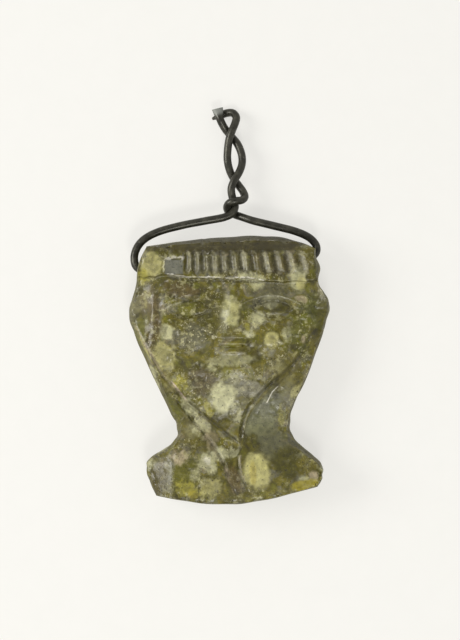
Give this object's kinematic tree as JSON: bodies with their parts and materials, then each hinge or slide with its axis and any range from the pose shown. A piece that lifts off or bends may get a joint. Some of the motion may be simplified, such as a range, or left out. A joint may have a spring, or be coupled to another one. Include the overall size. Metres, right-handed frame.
{
  "type": "goddess amulet",
  "caption": "Small carved stone pendant shaped as a goddess's head emblem on a flared foot, hung on a loop of twisted wire.",
  "frame": {"origin": "middle of the stone's flat back, on which the amulet lies", "axes": "+Y up the amulet towards the wire's twisted end, +Z out of the carved front, +X to the right as the front is looked at"},
  "size_m": [0.0262, 0.0518, 0.008],
  "materials": {
    "mottled_green_stone": "polished, mottled olive and grey-green with pale and yellow-green clasts, fine pits and scratches",
    "dark_wire": "drawn wire with a dark grey-brown patina, worn brighter where the strands rub"
  },
  "bodies": {
    "root": {"carved_stone": "mottled_green_stone", "suspension_wire": "dark_wire"}
  },
  "joints": []
}
